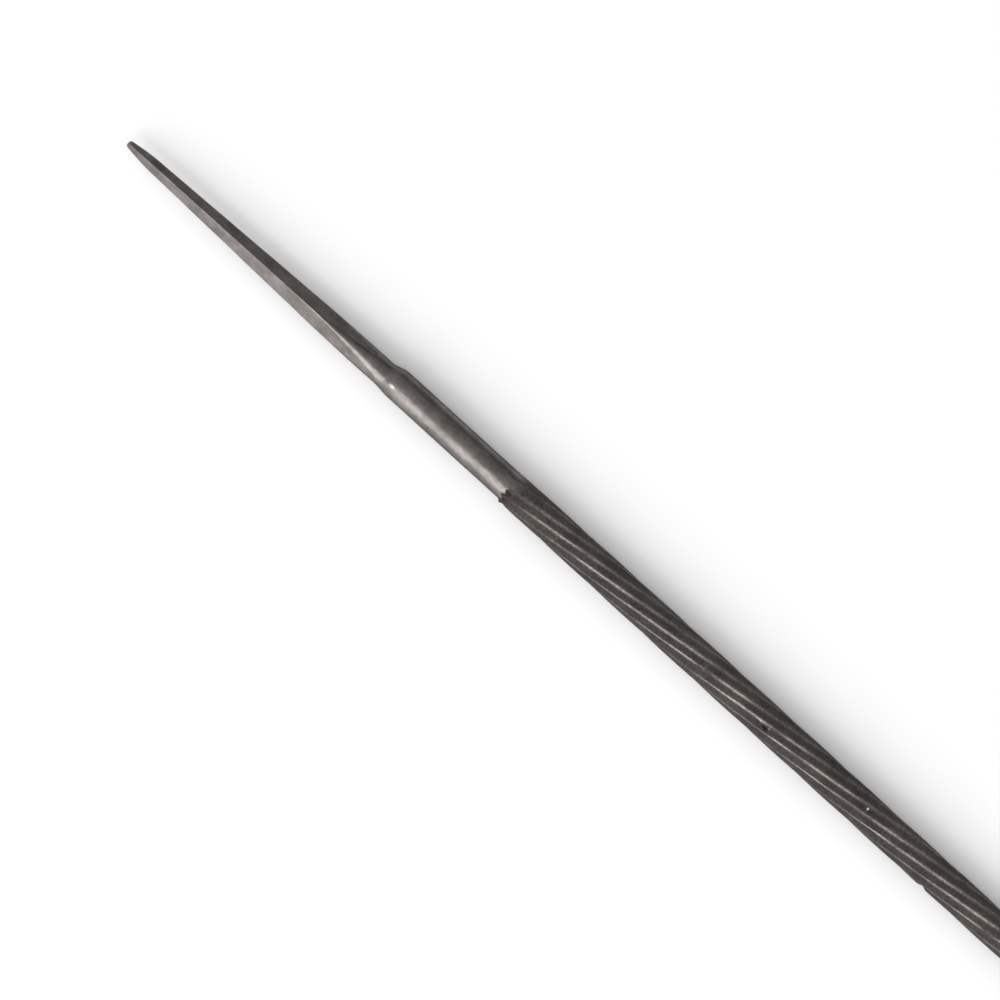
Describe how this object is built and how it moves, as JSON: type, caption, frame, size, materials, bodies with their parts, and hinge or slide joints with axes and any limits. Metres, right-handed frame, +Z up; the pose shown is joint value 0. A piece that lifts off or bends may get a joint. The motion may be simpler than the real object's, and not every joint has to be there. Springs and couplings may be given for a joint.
{
  "type": "chainsaw file",
  "caption": "Round file for sharpening saw chain: a tapered square tang, a short plain neck and a long body cut with left-hand spiral teeth, all one bar of bare hardened steel.",
  "frame": {"origin": "under the middle of the overall length, at the height of the lowest crests of the teeth, on which the file lies", "axes": "+X along the file from the tang's tip to the nose, +Z up, and +Y across; the body's axis runs along X at 2.4 mm above the origin"},
  "size_m": [0.2436, 0.0048, 0.0048],
  "materials": {
    "bare_steel": "bare hardened steel, satin on the tang and the neck and darker between the crests of the cut"
  },
  "bodies": {
    "root": {"chainsaw_file": "bare_steel"}
  },
  "joints": []
}
